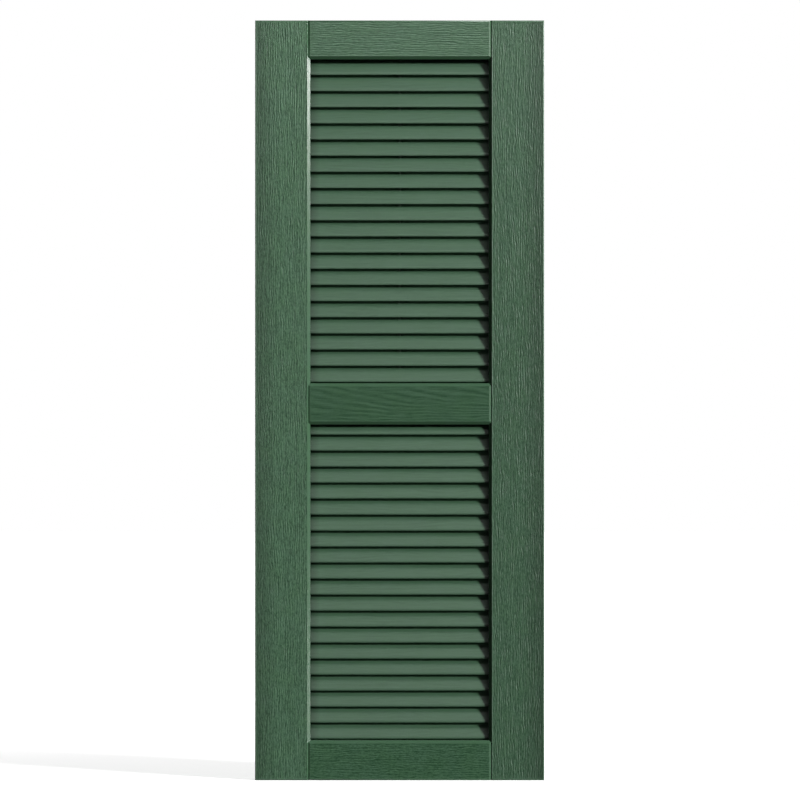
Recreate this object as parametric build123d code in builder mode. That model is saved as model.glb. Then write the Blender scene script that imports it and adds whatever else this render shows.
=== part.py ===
from build123d import *
import math
import os

# A fixed-louver shutter panel in mm. X runs across, Z up, and the front faces -Y. The back lies on Y = 0,
# with the origin at its centre, on the middle rail.

# Panel
panel_width = 377.0
panel_height = 990.6
panel_thickness = 32.0
arris_radius = 1.5  # rounding of the outer edges

# Stiles and rails
stile_width = 72.0
top_rail_height = 50.5
middle_rail_height = 53.8
middle_rail_drop = 4.6  # its centre, below the middle of the panel
bottom_rail_height = 52.0
sight_chamfer = 4.0  # 45 degree moulding round both openings
joint_groove_width = 3.0  # V-groove where a rail's face meets a stile

# Mortise and tenon joints
tenon_length = 25.0
tenon_thickness = 10.0
tenon_shoulder = 10.0  # from a rail's edge to its tenon
tenon_clearance = 0.25
mortise_end_room = 1.0  # glue room past the tenon's end

# Louvers: a nose with rounded corners in front and below, and a rear edge with eased corners
louvers_per_bay = 20
louver_thickness = 6.0
louver_angle = 58.0  # from level
louver_nose_radius = 1.0
louver_setback = 9.5  # from the front face to the nose
louver_back_margin = 5.0  # from the louver's rear edge to the back face
louver_rear_ease = 2.0
louver_slot_depth = 8.0
louver_end_room = 0.5
louver_clearance = 0.2
upper_nose_drop = 20.5  # from the rail above to the first nose's lower edge
lower_nose_drop = 13.7
sill_gap = 1.3  # from the last nose to the rail below, and from the last louver to that rail's lip
sill_lip_height = 8.0  # the lip stands up from the rail behind the last louver and closes the gap to view

# Stay: an upright strip let into kerfs in the upper louvers' rear edges
stay_width = 4.0
stay_setback = 18.5  # from the front face to the strip
stay_seat_depth = 6.0  # how far each end goes into its rail
stay_clearance = 0.2

# Places that follow from the sizes above
panel_top = panel_height / 2
panel_bottom = -panel_height / 2
front_face = -panel_thickness
half_opening = panel_width / 2 - stile_width
top_sight_edge = panel_top - top_rail_height
middle_upper_edge = middle_rail_height / 2 - middle_rail_drop
middle_lower_edge = -middle_rail_height / 2 - middle_rail_drop
bottom_sight_edge = panel_bottom + bottom_rail_height

slope_cos = math.cos(math.radians(louver_angle))
slope_sin = math.sin(math.radians(louver_angle))
half_slat = louver_thickness / 2
corner_offset = half_slat - louver_nose_radius  # from the slat's middle to a nose corner's centre
nose_y = front_face + louver_setback + louver_nose_radius + corner_offset * slope_sin
nose_rise = louver_nose_radius + corner_offset * slope_cos  # from the lowest point to the nose's centre
rear_corner_y = -louver_back_margin - half_slat * slope_sin
louver_run = (rear_corner_y - nose_y) / slope_cos + louver_rear_ease  # nose's centre to the rear edge
louver_height = nose_rise + louver_run * slope_sin + half_slat * slope_cos
louver_length = 2 * (half_opening + louver_slot_depth - louver_end_room)


def nose_heights(rail_above, nose_drop, rail_below):
    """Heights of the noses' lower edges in one bay, evenly spaced from the top down."""
    first = rail_above - nose_drop
    last = rail_below + sill_gap
    pitch = (first - last) / (louvers_per_bay - 1)
    return [first - n * pitch for n in range(louvers_per_bay)]


def slope_height(nose, y, offset):
    """Height, at y, of the plane that lies offset above the middle of a louver's thickness."""
    return nose + nose_rise + offset / slope_cos + (y - nose_y) * slope_sin / slope_cos


upper_noses = nose_heights(top_sight_edge, upper_nose_drop, middle_upper_edge)
lower_noses = nose_heights(middle_lower_edge, lower_nose_drop, bottom_sight_edge)
louver_noses = {"upper": upper_noses, "lower": lower_noses}


def louver_section(noses, clearance):
    """Sections of the louvers with these noses, enlarged by clearance all round."""
    half = half_slat + clearance
    reach = louver_run + clearance
    upper_rear = [(reach, half - louver_rear_ease), (reach - louver_rear_ease, half), (0, half)]
    lower_rear = [(u, -v) for u, v in reversed(upper_rear)]
    with Locations(*[(nose_y, nose + nose_rise) for nose in noses]):
        SlotCenterToCenter(
            2 * corner_offset,
            2 * (louver_nose_radius + clearance),
            rotation=louver_angle + 90,
        )
        Polygon(*lower_rear, *upper_rear, rotation=louver_angle, align=None)


def tenon_section(low, high, clearance):
    """A rail's tenon, centred in the panel's thickness, enlarged by clearance all round."""
    with Locations((front_face / 2, (low + high) / 2)):
        Rectangle(
            tenon_thickness + 2 * clearance,
            high - low - 2 * tenon_shoulder + 2 * clearance,
        )


rails = {
    "top_rail": (top_sight_edge, panel_top),
    "middle_rail": (middle_lower_edge, middle_upper_edge),
    "bottom_rail": (panel_bottom, bottom_sight_edge),
}

# Stiles: the sight chamfer runs their full length, and the rails' ends are coped over it
with BuildPart() as stile_left:
    with BuildSketch(Plane.XY.offset(panel_bottom)):
        with BuildLine():
            Polyline(
                (-panel_width / 2, 0),
                (-half_opening, 0),
                (-half_opening, front_face + sight_chamfer),
                (-half_opening - sight_chamfer, front_face),
                (-panel_width / 2, front_face),
                close=True,
            )
        make_face()
    extrude(amount=panel_height)
    broad_faces = stile_left.faces().filter_by(Axis.Y).sort_by(Axis.Y)
    arrises = [edge for face in broad_faces for edge in face.edges().sort_by(Axis.X)[:-1]]
    fillet(arrises, arris_radius)
    with BuildSketch(Plane.YZ.offset(-half_opening)):
        for low, high in rails.values():
            tenon_section(low, high, tenon_clearance)
    extrude(amount=-tenon_length - mortise_end_room, mode=Mode.SUBTRACT)
    with BuildSketch(Plane.YZ.offset(-half_opening)):
        for noses in louver_noses.values():
            louver_section(noses, louver_clearance)
    extrude(amount=-louver_slot_depth, mode=Mode.SUBTRACT)
stile_left.part.label = "stile_left"

with BuildPart() as stile_right:
    mirror(stile_left.part, about=Plane.YZ)
stile_right.part.label = "stile_right"


def rail_plan():
    """A rail's coped outline, seen from above: it laps the stiles' chamfers and ends in the V-groove."""
    groove = joint_groove_width / 2
    shoulder = (half_opening, front_face + sight_chamfer)
    groove_bottom = (half_opening + sight_chamfer - groove, front_face + groove)
    groove_edge = (half_opening + sight_chamfer - 2 * groove, front_face)
    right = [(half_opening, 0), shoulder, groove_bottom, groove_edge]
    left = [(-x, y) for x, y in reversed(right)]
    Polygon(*right, *left, align=None)


def louver_bevel(nose):
    """The wedge behind the louver that runs up behind a rail, which the rail's underside clears."""
    lowest = slope_height(nose, front_face, half_slat + louver_clearance)
    highest = slope_height(nose, 0, half_slat + louver_clearance)
    Polygon((front_face, lowest), (0, lowest), (0, highest), align=None)


def sill_lip(edge):
    """The lip on a rail's upper edge, whose front runs parallel to the last louver's underside."""
    height_at_nose = slope_height(edge + sill_gap, nose_y, -half_slat - sill_gap)
    start_y = nose_y + (edge - height_at_nose) * slope_cos / slope_sin
    crest_y = start_y + sill_lip_height * slope_cos / slope_sin
    crest = edge + sill_lip_height
    Polygon((start_y, edge), (0, edge), (0, crest), (crest_y, crest), align=None)


def stay_section(clearance):
    """The strip's section, seen from above, flush with the panel's back and enlarged by clearance."""
    depth = panel_thickness - stay_setback + clearance
    with Locations((0, -depth / 2)):
        Rectangle(stay_width + 2 * clearance, depth)


stay_top = slope_height(upper_noses[0], 0, half_slat + louver_clearance) + stay_seat_depth
stay_bottom = middle_upper_edge - stay_seat_depth
noses_below = {"top_rail": upper_noses[0], "middle_rail": lower_noses[0]}


def make_rail(name):
    """One rail with its sight edges, coped ends and tenons."""
    low, high = rails[name]
    full_reach = half_opening + sight_chamfer
    with BuildPart() as rail:
        with BuildSketch(Plane.YZ):
            with Locations((front_face / 2, (low + high) / 2)):
                Rectangle(panel_thickness, high - low)
        extrude(amount=full_reach, both=True)
        long_edges = rail.edges().filter_by(Axis.X)
        outer_edges = [edge for edge in long_edges if math.isclose(abs(edge.center().Z), panel_top)]
        sight_edges = [edge for edge in long_edges.group_by(Axis.Y)[0] if edge not in outer_edges]
        if outer_edges:
            fillet(outer_edges, arris_radius)
        chamfer(sight_edges, sight_chamfer)
        with BuildSketch(Plane.XY):
            rail_plan()
        extrude(amount=panel_height, both=True, mode=Mode.INTERSECT)
        with BuildSketch(Plane.YZ):
            tenon_section(low, high, 0)
        extrude(amount=half_opening + tenon_length, both=True)
        if name != "top_rail":
            with BuildSketch(Plane.YZ):
                sill_lip(high)
            extrude(amount=half_opening, both=True)
        if name in noses_below:
            with BuildSketch(Plane.YZ):
                louver_bevel(noses_below[name])
            extrude(amount=half_opening, both=True, mode=Mode.SUBTRACT)
            with BuildSketch(Plane.XY.offset(stay_bottom - stay_clearance)):
                stay_section(stay_clearance)
            extrude(amount=stay_top - stay_bottom + 2 * stay_clearance, mode=Mode.SUBTRACT)
    rail.part.label = name
    return rail.part


def make_louver(name, nose, kerfed):
    """One louver, with a kerf in its rear edge where the stay crosses it."""
    with BuildPart() as louver:
        with BuildSketch(Plane.YZ):
            louver_section([nose], 0)
        extrude(amount=louver_length / 2, both=True)
        if kerfed:
            with BuildSketch(Plane.XY.offset(nose)):
                stay_section(stay_clearance)
            extrude(amount=louver_height, mode=Mode.SUBTRACT)
    louver.part.label = name
    return louver.part


with BuildPart() as louver_stay:
    with BuildSketch(Plane.XY.offset(stay_bottom)):
        stay_section(0)
    extrude(amount=stay_top - stay_bottom)
louver_stay.part.label = "louver_stay"

pieces = [stile_left.part, stile_right.part, louver_stay.part]
pieces += [make_rail(name) for name in rails]
for bay, noses in louver_noses.items():
    for number, nose in enumerate(noses, 1):
        pieces.append(make_louver(f"louver_{bay}_{number:02d}", nose, bay == "upper"))

os.makedirs("parts", exist_ok=True)
for piece in pieces:
    export_step(piece, f"parts/{piece.label}.step")
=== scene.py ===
import math

import bmesh
import bpy
import numpy as np
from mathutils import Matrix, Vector


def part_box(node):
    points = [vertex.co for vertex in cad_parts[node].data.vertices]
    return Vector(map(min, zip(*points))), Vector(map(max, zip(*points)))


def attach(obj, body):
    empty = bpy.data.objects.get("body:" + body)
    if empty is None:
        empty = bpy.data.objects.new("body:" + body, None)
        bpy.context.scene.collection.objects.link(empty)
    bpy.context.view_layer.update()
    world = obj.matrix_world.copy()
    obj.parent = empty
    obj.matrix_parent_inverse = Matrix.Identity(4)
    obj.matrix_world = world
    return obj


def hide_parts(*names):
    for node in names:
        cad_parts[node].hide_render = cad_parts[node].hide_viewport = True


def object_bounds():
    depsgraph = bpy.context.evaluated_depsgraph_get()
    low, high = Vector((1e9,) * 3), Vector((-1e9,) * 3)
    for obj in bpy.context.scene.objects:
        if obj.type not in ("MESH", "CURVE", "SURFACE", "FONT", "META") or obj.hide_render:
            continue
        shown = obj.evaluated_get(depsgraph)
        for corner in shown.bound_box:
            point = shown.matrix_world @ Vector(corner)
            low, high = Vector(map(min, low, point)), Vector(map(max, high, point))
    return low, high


# A louvered shutter panel in satin green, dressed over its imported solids.
# Metres, Z up, and the front faces -Y.
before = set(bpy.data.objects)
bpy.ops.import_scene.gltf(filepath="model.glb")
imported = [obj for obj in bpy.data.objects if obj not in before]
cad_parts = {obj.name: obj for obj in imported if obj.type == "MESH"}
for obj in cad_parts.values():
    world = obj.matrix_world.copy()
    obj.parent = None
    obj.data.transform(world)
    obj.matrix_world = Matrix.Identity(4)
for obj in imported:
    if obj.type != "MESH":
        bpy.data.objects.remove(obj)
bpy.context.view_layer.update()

MM = 0.001
WELD = 1e-6
FRONT_Y = -32 * MM

# Noise, whose seeds are all counted from SEED
SEED = 11
NOISE_GRID = 512
TICK_SEEDS = {
    "stile_left": 100,
    "stile_right": 120,
    "top_rail": 140,
    "bottom_rail": 160,
    "louver_stay": 190,
}
FIGURE_SEED = 180
LOUVER_SEED = 40
SEED_STEP = 3  # from one louver to the next
BOW_SEED = 5

# Grain pressed into the front faces, on a grid that is fine across the grain and coarser along it
GRAIN_DEPTH = {
    "stile_left": 0.36 * MM,
    "stile_right": 0.5 * MM,
    "top_rail": 0.3 * MM,
    "middle_rail": 0.36 * MM,
    "bottom_rail": 0.4 * MM,
}
LOUVER_GRAIN = 0.08 * MM
ACROSS_STEP = 0.46 * MM
ALONG_STEP = 1.7 * MM
EDGE_FADE = 0.8 * MM  # width over which the grain dies out at a face's edge

# Figure of the grain, in mm
TICK_SPACING = 3.0
TICK_LENGTH = 10.0
CLOSE_EDGE = 22  # from a piece's middle to the edge where its figure lies close
RING_SPACING = 4.5
ARCH_STRETCH = 16.0
ARCH_CENTRE = (-34, -40)

# Louvers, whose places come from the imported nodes' boxes
THICKNESS = 6 * MM
SLOPE = math.radians(58)
SLOPE_COS, SLOPE_SIN = math.cos(SLOPE), math.sin(SLOPE)
NOSE_RADIUS = 1 * MM
REAR_EASE = 2 * MM
HALF_OPENING = 116.5 * MM
IN_VIEW_STATIONS = 29  # places along each half of a louver where its section is set
UPPER_STEP = 0.8 * MM  # between points of the section on its upper surface
LOWER_STEP = 2.4 * MM
CORNER_SEGMENTS = 5
NOSE_EASES = (0.8 * MM, 0.5 * MM, 1.2 * MM)  # at the heel, the toe and the brow of the nose
TOE_LIFT = 0.5 * MM  # of the level underside, above the CAD nose's lowest line
SLOT_STEP = 0.05 * MM  # past the opening's side the nose narrows to the slot
MOST_BOW = 0.2 * MM
BOW_STEP = 1.7  # through the noise, from one louver to the next

any_low, any_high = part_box("louver_upper_01")
CORNER_OFFSET = THICKNESS / 2 - NOSE_RADIUS  # from the slat's middle to a CAD nose corner's centre
NOSE_Y = any_low.y + NOSE_RADIUS + CORNER_OFFSET * SLOPE_SIN
REAR_CORNER_Y = any_high.y - THICKNESS / 2 * SLOPE_SIN
LOUVER_RUN = (REAR_CORNER_Y - NOSE_Y) / SLOPE_COS + REAR_EASE

# Stay, and the kerfs that hold it
KERF_HALF = 2.2 * MM
KERF_FRONT = -13.7 * MM
PAINT_OVERLAP = 0.02 * MM
STAY_EASE = 0.6 * MM
STAY_STATIONS = 60

# Meshes
FACING = 0.999  # cosine past which a face counts as facing a way
MERGE_ANGLE = math.radians(0.2)  # between faces that lie in one plane
SHARP_ANGLE = math.radians(25)
FLAT_AREA = 1000 * MM**2  # a larger face is flat, and keeps its own normal up to its rounded edges


def hills(across, along, width, length, seed):
    """Values from -1 to 1 that vary smoothly over a plane, with one hill to each width by length."""
    grid = np.random.default_rng(SEED + seed).uniform(-1, 1, (NOISE_GRID, NOISE_GRID))
    u, v = across / width, along / length
    iu, iv = np.floor(u).astype(int), np.floor(v).astype(int)
    fu, fv = u - iu, v - iv
    su, sv = fu * fu * (3 - 2 * fu), fv * fv * (3 - 2 * fv)

    def corner(a, b):
        return grid[(iu + a) % NOISE_GRID, (iv + b) % NOISE_GRID]

    near = corner(0, 0) * (1 - su) + corner(1, 0) * su
    far = corner(0, 1) * (1 - su) + corner(1, 1) * su
    return near * (1 - sv) + far * sv


def ticks(across, along, seed):
    """Pressed grain from 0 (ridge) to 1 (groove): short fine ticks that run along and break off
    against each other, crossed by small pores."""
    a, b = across / MM, along / MM
    sway = 0.9 * hills(a, b, 24, 50, seed) + 0.25 * hills(a, b, 7, 16, seed + 1)
    slip = 0.5 * hills(a, b, 4, TICK_LENGTH, seed + 2)
    lines = np.sin(2 * math.pi * ((a + sway) / TICK_SPACING + slip))
    strength = np.clip(0.66 + 0.7 * hills(a, b, 4, 0.8 * TICK_LENGTH, seed + 3), 0.1, 1.2)
    fibres = hills(a + sway, b, 0.36 * TICK_SPACING, 2.4 * TICK_LENGTH, seed + 4)
    pores = hills(a, b, 0.4 * TICK_SPACING, 2.9, seed + 5)
    return np.clip(0.5 + 0.33 * strength * lines + 0.22 * fibres + 0.3 * pores, 0, 1)


def figure_lines(across, along, seed):
    """Flat-sawn figure from 0 to 1: lines that lie close at one edge and slant and spread away from
    it, with fine pores between. Across is counted from the piece's middle."""
    a, b = across / MM, along / MM
    sway = 3.2 * hills(a, b, 18, 48, seed) + 0.9 * hills(a, b, 6, 16, seed + 1)
    level = a + CLOSE_EDGE + sway
    slant = 0.13 * b * np.clip(level / 26, 0, 1)
    spacing = 4.2 + 0.055 * np.clip(level, 0, 50)
    lines = np.sin(2 * math.pi * (level + slant) / spacing)
    strength = np.clip(0.6 + 0.7 * hills(a, b, 8, 26, seed + 2), 0, 1)
    pores = hills(a + sway, b, 1.3, 12, seed + 3)
    return np.clip(0.45 + 0.34 * strength * lines + 0.2 * pores, 0, 1)


def arches(across, along, seed):
    """Faint flat-sawn figure from 0 to 1: long arches along, with fine pores between."""
    a, b = across / MM, along / MM
    sway = 5 * hills(a, b, 26, 60, seed) + 1.2 * hills(a, b, 9, 24, seed + 1)
    radius = np.hypot(a + sway - ARCH_CENTRE[0], (b - ARCH_CENTRE[1]) / ARCH_STRETCH)
    rings = 0.5 + 0.5 * np.sin(2 * math.pi * radius / RING_SPACING)
    strength = np.clip(0.5 + 0.8 * hills(a, b, 12, 40, seed + 3), 0, 1)
    pores = hills(a + sway, b, 0.9, 22, seed + 2)
    return np.clip(0.4 * strength * rings + 0.3 + 0.3 * pores, 0, 1)


def link_object(name, data):
    """A new object in the scene."""
    new = bpy.data.objects.new(name, data)
    bpy.context.scene.collection.objects.link(new)
    return new


def finish_piece(bm, name, node, groove):
    """Turns bm into the piece that stands for a CAD node, with the depth of its grain, vertex by
    vertex, kept for its paint."""
    mesh = bpy.data.meshes.new(name)
    bm.to_mesh(mesh)
    bm.free()
    attribute = mesh.attributes.new("grain", "FLOAT", "POINT")
    attribute.data.foreach_set("value", np.asarray(groove, np.float32))
    mesh.shade_smooth()
    mesh.set_sharp_from_angle(angle=SHARP_ANGLE)
    for polygon in mesh.polygons:
        polygon.use_smooth = polygon.area < FLAT_AREA
    piece = link_object(name, mesh)
    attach(piece, "root")
    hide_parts(node)
    return piece


def split_evenly(edge, start, parts):
    """Splits an edge into equal parts and returns its vertices in order from start."""
    points = [start]
    far = edge.other_vert(start)
    for left in range(parts, 1, -1):
        middle = bmesh.utils.edge_split(edge, points[-1], 1 / left)[1]
        points.append(middle)
        edge = next(e for e in middle.link_edges if far in e.verts)
    return points + [far]


def front_corners(bm, node):
    """The flat front face of a stile or rail, and its corners from lower left to upper right."""
    in_front = (
        face
        for face in bm.faces
        if face.normal.y < -FACING and abs(face.calc_center_median().y - FRONT_Y) < WELD
    )
    front = max(in_front, key=lambda face: face.calc_area())
    corners = sorted(front.verts, key=lambda v: (v.co.z, v.co.x))
    if len(corners) != 4:
        raise ValueError(f"{node}: the front face has {len(corners)} corners")
    return front, corners


def grained_copy(node, along_z, figure):
    """A copy of a stile or rail whose front face is a fine grid with grain pressed into it. Its other
    faces take the second material."""
    bm = bmesh.new()
    bm.from_mesh(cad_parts[node].data)
    bmesh.ops.remove_doubles(bm, verts=bm.verts, dist=WELD)
    bmesh.ops.dissolve_limit(bm, angle_limit=MERGE_ANGLE, verts=bm.verts, edges=bm.edges)
    front, (low_left, low_right, high_left, high_right) = front_corners(bm, node)
    width = low_right.co.x - low_left.co.x
    height = high_left.co.z - low_left.co.z
    step_x, step_z = (ACROSS_STEP, ALONG_STEP) if along_z else (ALONG_STEP, ACROSS_STEP)
    columns, rows = round(width / step_x), round(height / step_z)

    def side(a, b, parts):
        return split_evenly(next(e for e in a.link_edges if b in e.verts), a, parts)

    bottom, top = side(low_left, low_right, columns), side(high_left, high_right, columns)
    left, right = side(low_left, high_left, rows), side(low_right, high_right, rows)
    bmesh.ops.delete(bm, geom=[front], context="FACES_ONLY")
    for face in bm.faces:
        face.material_index = 1

    across = np.linspace(low_left.co.x, low_right.co.x, columns + 1)
    up = np.linspace(low_left.co.z, high_left.co.z, rows + 1)
    x, z = np.meshgrid(across, up)
    from_sides = np.minimum(x - across[0], across[-1] - x)
    from_ends = np.minimum(z - up[0], up[-1] - z)
    fade = np.clip(np.minimum(from_sides, from_ends) / EDGE_FADE, 0, 1)
    groove = (figure(x, z) if along_z else figure(z, x)) * fade
    y = FRONT_Y + GRAIN_DEPTH[node] * groove

    grid = [[None] * (columns + 1) for _ in range(rows + 1)]
    grid[0], grid[rows] = bottom, top
    for r in range(1, rows):
        grid[r][0], grid[r][columns] = left[r], right[r]
        for c in range(1, columns):
            grid[r][c] = bm.verts.new((x[r, c], y[r, c], z[r, c]))
    for r in range(rows):
        for c in range(columns):
            bm.faces.new((grid[r][c], grid[r][c + 1], grid[r + 1][c + 1], grid[r + 1][c]))
    bm.verts.index_update()
    values = np.zeros(len(bm.verts))
    for r in range(rows + 1):
        for c in range(columns + 1):
            values[grid[r][c].index] = groove[r, c]
    return finish_piece(bm, f"{node}_grained", node, values)


def swept_faces(stations, count, kerf):
    """Faces of a section with count points that is swept over the stations and closed at its ends. A
    kerf, from one point of the section to another, opens the middle stretch and is walled inside."""

    def at(n, p):
        return n * count + p % count

    faces = []
    middle = stations // 2 - 1
    for n in range(stations - 1):
        for p in range(count):
            if kerf and n == middle and kerf[0] <= p < kerf[1]:
                continue
            faces.append((at(n, p), at(n, p + 1), at(n + 1, p + 1), at(n + 1, p)))
    faces.append([at(0, p) for p in reversed(range(count))])
    faces.append([at(stations - 1, p) for p in range(count)])
    if kerf:
        first, last = kerf
        past = middle + 1
        faces.append([at(middle, p) for p in range(first, last + 1)])
        faces.append([at(past, p) for p in range(last, first - 1, -1)])
        faces.append((at(middle, first), at(middle, last), at(past, last), at(past, first)))
    return faces


def swept_solid(vertices, faces):
    """A closed solid whose faces look outwards."""
    bm = bmesh.new()
    points = [bm.verts.new(vertex) for vertex in vertices]
    for face in faces:
        bm.faces.new([points[n] for n in face])
    bmesh.ops.recalc_face_normals(bm, faces=bm.faces)
    return bm


def eased_corner(before, corner, after, ease):
    """Points of a curve that leaves the two sides of a corner at the distance ease from it."""
    first = corner + ease * (before - corner) / np.linalg.norm(before - corner)
    last = corner + ease * (after - corner) / np.linalg.norm(after - corner)
    steps = [n / CORNER_SEGMENTS for n in range(CORNER_SEGMENTS + 1)]
    return [tuple((1 - t) ** 2 * first + 2 * t * (1 - t) * corner + t**2 * last) for t in steps]


def louver_outline(kerfed):
    """One louver's section as points (along the slope, out of it), from the nose's level underside
    round its plumb front, up the upper surface and back along the lower one, with the indices of the
    kerf's corners."""
    half = THICKNESS / 2
    run = LOUVER_RUN
    to_kerf = (KERF_FRONT - NOSE_Y) / SLOPE_COS
    rise = half * math.tan(SLOPE)
    kerf_upper, kerf_lower = to_kerf + rise, to_kerf - rise

    def along_slope(y, z):
        return np.array((y * SLOPE_COS + z * SLOPE_SIN, z * SLOPE_COS - y * SLOPE_SIN))

    front = -NOSE_RADIUS - CORNER_OFFSET * SLOPE_SIN
    bottom = TOE_LIFT - NOSE_RADIUS - CORNER_OFFSET * SLOPE_COS
    heel = along_slope((half + bottom * SLOPE_COS) / SLOPE_SIN, bottom)
    toe = along_slope(front, bottom)
    brow = along_slope(front, (half + front * SLOPE_SIN) / SLOPE_COS)
    route = [np.array((run, -half)), heel, toe, brow, np.array((run, half))]
    points = []
    for before, corner, after, ease in zip(route, route[1:], route[2:], NOSE_EASES):
        points += eased_corner(before, corner, after, ease)
    nose_lower, nose_upper = points[0][0], points[-1][0]

    def stretch(a, b, step, v):
        count = max(1, round(abs(b - a) / step))
        return [(a + (b - a) * n / count, v) for n in range(1, count + 1)]

    points += stretch(nose_upper, kerf_upper, UPPER_STEP, half)
    first = len(points) - 1
    points += stretch(kerf_upper, run - REAR_EASE, UPPER_STEP, half)
    points += [(run, half - REAR_EASE), (run, REAR_EASE - half), (run - REAR_EASE, -half)]
    points += stretch(run - REAR_EASE, kerf_lower, LOWER_STEP, -half)
    last = len(points) - 1
    points += stretch(kerf_lower, nose_lower, LOWER_STEP, -half)[:-1]
    return np.array(points), (first, last) if kerfed else None


def outline_normals(outline):
    """The distance round a closed outline to each of its points, and the direction out of it there."""
    edges = np.diff(outline, axis=0, append=outline[:1])
    arc = np.concatenate([[0], np.cumsum(np.hypot(edges[:, 0], edges[:, 1]))[:-1]])
    before = np.roll(edges, 1, axis=0)
    tangent = edges / np.linalg.norm(edges, axis=1)[:, None]
    tangent += before / np.linalg.norm(before, axis=1)[:, None]
    tangent /= np.linalg.norm(tangent, axis=1)[:, None]
    return arc, np.stack([-tangent[:, 1], tangent[:, 0]], axis=1)


def grained_louver(node, number, kerfed):
    """A louver swept along X with fine grain on it, a slight bow, and the kerf of the stay in its rear
    edge."""
    low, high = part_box(node)
    outline, kerf = louver_outline(kerfed)
    arc, outward = outline_normals(outline)
    in_view = np.linspace(KERF_HALF, HALF_OPENING, IN_VIEW_STATIONS)
    half_stations = np.concatenate([in_view, [HALF_OPENING + SLOT_STEP, high.x]])
    x = np.concatenate([-half_stations[::-1], half_stations])
    s, station = np.meshgrid(arc, x)
    groove = arches(s, station, LOUVER_SEED + SEED_STEP * number)
    shape = outline[None] - (LOUVER_GRAIN * groove)[:, :, None] * outward[None]
    along, out = shape[:, :, 0], shape[:, :, 1]
    in_slot = np.abs(station) > HALF_OPENING + SLOT_STEP / 2
    along = np.where(in_slot, np.maximum(along, -NOSE_RADIUS), along)
    centre_z = low.z + NOSE_RADIUS + CORNER_OFFSET * SLOPE_COS
    y = NOSE_Y + along * SLOPE_COS - out * SLOPE_SIN
    z = centre_z + along * SLOPE_SIN + out * SLOPE_COS
    bow = MOST_BOW * float(hills(np.array([number * BOW_STEP]), 0.5, 1, 1, BOW_SEED)[0])
    span = np.clip(np.abs(station) / HALF_OPENING, 0, 1)
    z = z + bow * np.cos(span * math.pi / 2)
    vertices = np.stack([station, y, z], axis=2).reshape(-1, 3)
    bm = swept_solid(vertices.tolist(), swept_faces(len(x), len(outline), kerf))
    return finish_piece(bm, f"{node}_grained", node, groove.reshape(-1))


def painted_stay():
    """The stay with eased front corners, as wide as the kerfs that it fills under the paint."""
    node = "louver_stay"
    low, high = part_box(node)
    half = KERF_HALF + PAINT_OVERLAP
    outline = [
        (-half, high.y),
        (-half, low.y + STAY_EASE),
        (-half + STAY_EASE, low.y),
        (half - STAY_EASE, low.y),
        (half, low.y + STAY_EASE),
        (half, high.y),
    ]
    heights = np.linspace(low.z, high.z, STAY_STATIONS)
    vertices = [(x, y, z) for z in heights for x, y in outline]
    bm = swept_solid(vertices, swept_faces(len(heights), len(outline), None))
    across, _, along = np.array(vertices).T
    groove = ticks(across, along, TICK_SEEDS[node])
    return finish_piece(bm, f"{node}_painted", node, groove)


# Materials
WHITE = (1, 1, 1, 1)
FIBRE_NOISE = {"Scale": 1.0, "Detail": 4.0, "Roughness": 0.6, "Distortion": 0.4}
FIBRE_SPAN = (0.3, 0.7)  # of the noise, over which the roughness changes
FIBRE_RELIEF = {"Strength": 0.5, "Distance": 0.12 * MM}
CLOUD_NOISE = {"Scale": 38.0, "Detail": 3.0, "Roughness": 0.55}
CLOUD_SPAN = (0.35, 0.65)  # of the noise, over which one tone turns into the other
SPECK_NOISE = {"Scale": 1.0, "Detail": 1.0}
LEAST_SPECK_SCALE = 400  # keeps the specks short along the grain
# The grooves darken the paint towards the deep tone: partly the grain's own tone, partly painted shade
# in the grooves
GROOVE_TONE_AND_SHADE_SPAN = (0.0, 0.55)  # of the grain's depth, over which the paint deepens


def node_tools(tree):
    """Empties a node tree. Returns a function that adds a node to it, with its inputs set or linked,
    and one that maps a value from one range to another."""
    tree.nodes.clear()

    def add(kind, inputs=None, **settings):
        node = tree.nodes.new(kind)
        for key, value in settings.items():
            setattr(node, key, value)
        for key, value in (inputs or {}).items():
            if isinstance(value, bpy.types.NodeSocket):
                tree.links.new(value, node.inputs[key])
            else:
                node.inputs[key].default_value = value
        return node

    def ramp(value, start, end, low, high):
        inputs = {"Value": value, "From Min": start, "From Max": end, "To Min": low, "To Max": high}
        return add("ShaderNodeMapRange", inputs).outputs["Result"]

    return add, ramp


def new_material(name):
    material = bpy.data.materials.new(name)
    material.use_nodes = True
    return material, *node_tools(material.node_tree)


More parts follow.
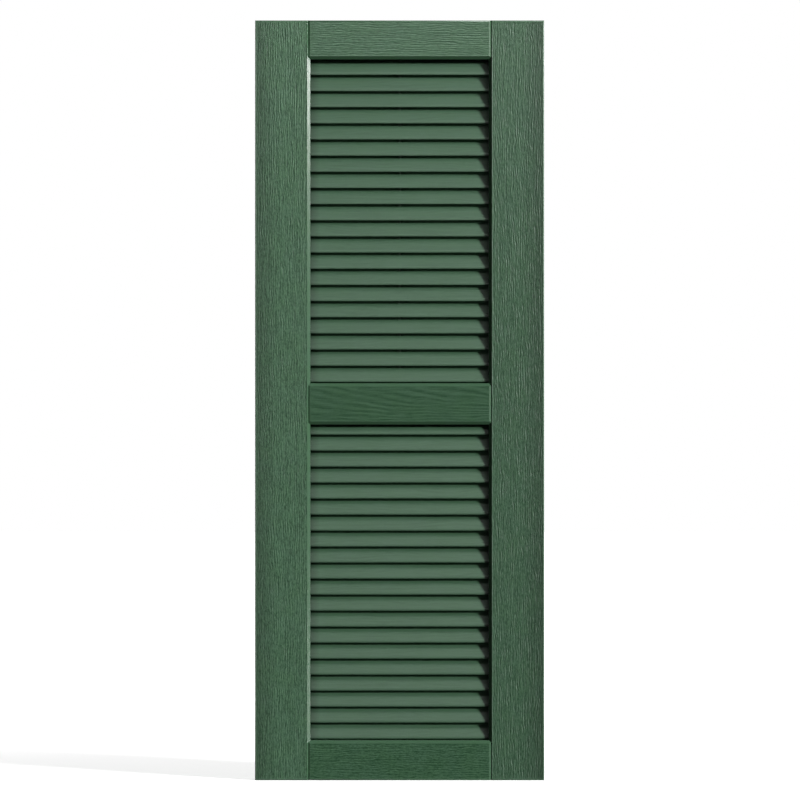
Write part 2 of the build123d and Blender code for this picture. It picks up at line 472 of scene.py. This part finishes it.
def satin_paint(name, stretch, pale, roughness, specular, speckle, groove_tone_and_shade=1, painted_edge_shade=None):
    """Satin paint over pressed grain. stretch is the scale of its texture along each axis, per metre.
    pale holds two tones of the paint. speckle is the strength of its specks, and wear how far the
    grooves go from the pale colour to the deep one, which is partly the grain's own tone and partly
    painted shade in the grooves. painted_edge_shade is (distance from the panel's middle where painted
    shade starts to darken the paint, where it ends, factor)."""
    material, add, ramp = new_material(name)
    place = add("ShaderNodeTexCoord").outputs["Object"]

    def noise(vector, settings):
        return add("ShaderNodeTexNoise", {"Vector": vector, **settings}).outputs["Fac"]

    def scaled(scale):
        return add("ShaderNodeMapping", {"Vector": place, "Scale": scale}).outputs["Vector"]

    def multiply_add(value, factor, addend):
        inputs = {0: value, 1: factor, 2: addend}
        return add("ShaderNodeMath", inputs, operation="MULTIPLY_ADD").outputs["Value"]

    def blend(factor, first, second):
        inputs = {"Factor": factor, "A": first, "B": second}
        return add("ShaderNodeMix", inputs, data_type="RGBA").outputs["Result"]

    fibre = noise(scaled(stretch), FIBRE_NOISE)
    cloudy = ramp(noise(place, CLOUD_NOISE), *CLOUD_SPAN, 0.0, 1.0)
    tone = blend(cloudy, (*pale[0], 1), (*pale[1], 1))

    grain = add("ShaderNodeAttribute", attribute_name="grain").outputs["Fac"]
    speck = noise(scaled([max(scale, LEAST_SPECK_SCALE) for scale in stretch]), SPECK_NOISE)
    depth = multiply_add(grain, fibre, multiply_add(speck, speckle, -speckle / 2))
    # Grooves and specks turn the paint towards the deep tone: partly the grain's own tone, partly
    # painted shade in the grooves
    base = blend(ramp(depth, *GROOVE_TONE_AND_SHADE_SPAN, 0.0, groove_tone_and_shade), tone, (*DEEP_TONE_AND_SHADE, 1))
    # Painted shade: the paint darkens with distance along X from the panel's middle, at the stiles'
    # outer edges and the louvers' ends
    if painted_edge_shade:
        start, end, factor = painted_edge_shade
        side = add("ShaderNodeSeparateXYZ", {"Vector": place}).outputs["X"]
        from_middle = add("ShaderNodeMath", {0: side}, operation="ABSOLUTE").outputs["Value"]
        shade = {0: base, 1: ramp(from_middle, start, end, 1.0, factor)}
        base = add("ShaderNodeVectorMath", shade, operation="MULTIPLY").outputs["Vector"]

    shader = add(
        "ShaderNodeBsdfPrincipled",
        {
            "Base Color": base,
            "Roughness": ramp(fibre, *FIBRE_SPAN, *roughness),
            "Specular IOR Level": specular,
            "Normal": add("ShaderNodeBump", {"Height": fibre, **FIBRE_RELIEF}).outputs["Normal"],
        },
    )
    add("ShaderNodeOutputMaterial", {"Surface": shader.outputs["BSDF"]})
    return material


# The deep tone, which is partly the grain's own and partly painted shade in the grooves
DEEP_TONE_AND_SHADE = (0.018, 0.056, 0.026)
# Pale tones of the stiles and rails, each set to how bright that piece shows under the light. This is
# painted light, which makes the left stile lighter than the right and the top rail lighter than the
# middle and bottom rails
PALE_LEFT_AS_LIT = ((0.0615, 0.1425, 0.0725), (0.0645, 0.1425, 0.081))
PALE_RIGHT_AS_LIT = ((0.047, 0.11, 0.056), (0.0495, 0.11, 0.0625))
PALE_TOP_AS_LIT = ((0.0515, 0.12, 0.061), (0.054, 0.12, 0.068))
PALE_MIDDLE_AS_LIT = ((0.0455, 0.1055, 0.054), (0.0475, 0.1055, 0.06))
PALE_BOTTOM_AS_LIT = ((0.0495, 0.115, 0.0585), (0.0515, 0.115, 0.065))
PALE_LOUVER = ((0.041, 0.0996, 0.052), (0.043, 0.0996, 0.056))

# Scales of the texture, least along the grain
UPRIGHT = (900, 900, 90)
LEVEL = (90, 900, 900)
ALONG_LOUVER = (60, 700, 700)
MOULDED = (60, 400, 60)

# Roughness, least and most
SMOOTH = (0.29, 0.34)
SATIN = (0.38, 0.46)
DULL = (0.50, 0.58)
DULLER = (0.56, 0.64)

# Painted shade, where the paint darkens towards the stiles' outer edges and the louvers' ends: from,
# to, and how far
STILE_EDGE_SHADE = (0.158, 0.1885, 0.6)
LOUVER_END_SHADE = (0.104, 0.1165, 0.42)

paints = {
    "stile_left": satin_paint(
        "stile_left_paint", UPRIGHT, PALE_LEFT_AS_LIT, SATIN, 0.3, speckle=1.0, painted_edge_shade=STILE_EDGE_SHADE
    ),
    "stile_right": satin_paint(
        "stile_right_paint", UPRIGHT, PALE_RIGHT_AS_LIT, SATIN, 0.3, speckle=1.2, painted_edge_shade=STILE_EDGE_SHADE
    ),
    "top_rail": satin_paint("top_rail_paint", LEVEL, PALE_TOP_AS_LIT, SATIN, 0.3, speckle=0.5, groove_tone_and_shade=0.9),
    "middle_rail": satin_paint("middle_rail_paint", LEVEL, PALE_MIDDLE_AS_LIT, DULL, 0.08, speckle=0.3),
    "bottom_rail": satin_paint("bottom_rail_paint", LEVEL, PALE_BOTTOM_AS_LIT, SATIN, 0.1, speckle=0.9),
    "louver": satin_paint(
        "louver_paint",
        ALONG_LOUVER,
        PALE_LOUVER,
        DULLER,
        0.3,
        speckle=0.2,
        groove_tone_and_shade=0.5,
        painted_edge_shade=LOUVER_END_SHADE,
    ),
    "smooth": satin_paint("moulding_paint", MOULDED, PALE_TOP_AS_LIT, SMOOTH, 0.3, speckle=0.2, groove_tone_and_shade=0.8),
}


# Pieces
def ticks_of(node):
    return lambda across, along: ticks(across, along, TICK_SEEDS[node])


def middle_figure(across, along):
    return figure_lines(across, along, FIGURE_SEED)


pieces = {}
for node in ("stile_left", "stile_right"):
    pieces[node] = grained_copy(node, True, ticks_of(node))
for node in ("top_rail", "bottom_rail"):
    pieces[node] = grained_copy(node, False, ticks_of(node))
pieces["middle_rail"] = grained_copy("middle_rail", False, middle_figure)
louvers = sorted(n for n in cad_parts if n.startswith("louver_") and n != "louver_stay")
for number, node in enumerate(louvers):
    pieces[node] = grained_louver(node, number, "upper" in node)
pieces["louver_stay"] = painted_stay()
for node, piece in pieces.items():
    piece.data.materials.append(paints.get(node, paints["louver"]))
    if node in GRAIN_DEPTH:
        piece.data.materials.append(paints["smooth"])


# Stage
AMBIENT = 0.008
FLOOR_HALF = 15.0
FLOOR_TONE = (0.8, 0.8, 0.8, 1)
FLOOR_BOUNCE = (0.05, 0.05, 0.05, 1)  # the floor's colour for the light that it throws on the panel
GLOW_SPAN = (0.8, 2.4)  # distance from the panel's middle over which the floor's glow rises
NEAR_GLOW, FULL_GLOW = 0.7, 1.0
BEHIND = 0.2  # along Y, where a glossy ray sees the white fully


def direct_ray(add, ramp, coordinates):
    """1 for a ray from the camera or through a clear surface, so that these see white. A glossy ray
    sees white behind the panel and the dark studio in front."""

    def combine(operation, first, second):
        return add("ShaderNodeMath", {0: first, 1: second}, operation=operation).outputs["Value"]

    place = add("ShaderNodeTexCoord").outputs[coordinates]
    depth = add("ShaderNodeSeparateXYZ", {"Vector": place}).outputs["Y"]
    path = add("ShaderNodeLightPath").outputs
    glossy = combine("MULTIPLY", path["Is Glossy Ray"], ramp(depth, 0.0, BEHIND, 0.0, 1.0))
    clear = combine("MAXIMUM", path["Is Camera Ray"], path["Is Transmission Ray"])
    return combine("MAXIMUM", clear, glossy)


world = bpy.data.worlds.new("studio")
bpy.context.scene.world = world
world.use_nodes = True
add, ramp = node_tools(world.node_tree)
dim = add("ShaderNodeBackground", {"Color": WHITE, "Strength": AMBIENT}).outputs[0]
white = add("ShaderNodeBackground", {"Color": WHITE, "Strength": 1.0}).outputs[0]
seen = add("ShaderNodeMixShader", {0: direct_ray(add, ramp, "Generated"), 1: dim, 2: white})
add("ShaderNodeOutputWorld", {"Surface": seen.outputs[0]})

# The floor's own glow is weaker near the panel, where it keeps the shadow, and full farther away
floor_material, add, ramp = new_material("floor_white")
ground = add("ShaderNodeTexCoord").outputs["Object"]
away = add("ShaderNodeVectorMath", {0: ground}, operation="LENGTH").outputs["Value"]
strength = ramp(away, *GLOW_SPAN, NEAR_GLOW, FULL_GLOW)
glow = add("ShaderNodeEmission", {"Color": WHITE, "Strength": strength})
pale = add("ShaderNodeBsdfDiffuse", {"Color": FLOOR_TONE})
lit = add("ShaderNodeAddShader", {0: pale.outputs[0], 1: glow.outputs[0]}).outputs[0]
plain = add("ShaderNodeBsdfDiffuse", {"Color": FLOOR_BOUNCE}).outputs[0]
seen = add("ShaderNodeMixShader", {0: direct_ray(add, ramp, "Object"), 1: plain, 2: lit})
add("ShaderNodeOutputMaterial", {"Surface": seen.outputs[0]})

floor_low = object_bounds()[0].z
floor_corners = [
    (-FLOOR_HALF, -FLOOR_HALF, floor_low),
    (FLOOR_HALF, -FLOOR_HALF, floor_low),
    (FLOOR_HALF, FLOOR_HALF, floor_low),
    (-FLOOR_HALF, FLOOR_HALF, floor_low),
]
floor_mesh = bpy.data.meshes.new("floor")
floor_mesh.from_pydata(floor_corners, [], [(0, 1, 2, 3)])
floor_mesh.materials.append(floor_material)
floor = link_object("floor", floor_mesh)


# Lights. The value of each is what a white matt surface that faces it would show
def towards(azimuth, elevation):
    """Direction from the panel to a lamp: azimuth 0 is straight ahead of the front, 90 its right."""
    a, e = math.radians(azimuth), math.radians(elevation)
    return np.array([math.sin(a) * math.cos(e), -math.cos(a) * math.cos(e), math.sin(e)])


def aim(lamp, direction):
    lamp.rotation_mode = "QUATERNION"
    lamp.rotation_quaternion = Vector(direction).to_track_quat("Z", "Y")


def add_sun(name, azimuth, elevation, value, spread):
    """A far lamp that spreads over an angle in degrees."""
    data = bpy.data.lights.new(name, "SUN")
    data.energy = value * math.pi
    data.angle = math.radians(spread)
    aim(link_object(name, data), towards(azimuth, elevation))


def add_softbox(name, azimuth, elevation, distance, value, size, centre=(0, 0, 0), matt=True):
    """A soft lamp of a width and height, at a distance from centre. One that isn't matt shows only in
    the gloss of the paint."""
    data = bpy.data.lights.new(name, "AREA")
    data.shape = "RECTANGLE"
    data.size, data.size_y = size
    data.energy = value * math.pi**2 * distance**2
    lamp = link_object(name, data)
    lamp.location = np.array(centre) + distance * towards(azimuth, elevation)
    aim(lamp, towards(azimuth, elevation))
    lamp.visible_camera = False
    lamp.visible_diffuse = matt


add_sun("key", 45, 15, value=1.17, spread=7)
add_softbox("upper_strip", 45, 38, distance=3.0, value=0.3, size=(0.5, 1.0))
add_softbox("rear_left", 215, 5, distance=3.0, value=0.55, size=(2.0, 1.6))
add_softbox("rear_right", 140, 5, distance=3.0, value=0.45, size=(2.0, 1.6))

# Gloss on the left sight edge, on the louvers, on the upper part and on the left stile
for name, value, height in (("edge_glow", 0.9, 0.54), ("edge_glow_low", 0.35, -0.5)):
    centre = (0, 0, height)
    add_softbox(name, 85, 0, distance=1.2, value=value, size=(0.15, 0.2), centre=centre, matt=False)
add_softbox("sheen_above", 42, 40, distance=6.0, value=1.15, size=(2.0, 3.9), matt=False)
centre = (0.25, 0, 0.98)
add_softbox("sheen_top", 0, 0, distance=1.2, value=0.95, size=(1.0, 0.5), centre=centre, matt=False)
centre = (-0.6, 0, 0)
add_softbox("sheen_left", 0, 0, distance=2.4, value=0.09, size=(0.6, 0.7), centre=centre, matt=False)

# Camera at the photograph's frame, with its lens set by the width of the frame at the front face
CAMERA_DISTANCE = 8.0
FRAME_WIDTH = 1.0428
SENSOR = 36.0
AIM_X = 0.52 * MM
AIM_Z = 0.44 * MM
camera_data = bpy.data.cameras.new("camera")
camera_data.sensor_width = SENSOR
camera_data.lens = SENSOR * CAMERA_DISTANCE / FRAME_WIDTH
camera = link_object("camera", camera_data)
camera.location = (AIM_X, FRONT_Y - CAMERA_DISTANCE, AIM_Z)
camera.rotation_euler = (math.pi / 2, 0, 0)
bpy.context.scene.camera = camera
bpy.context.scene.view_settings.view_transform = "Standard"
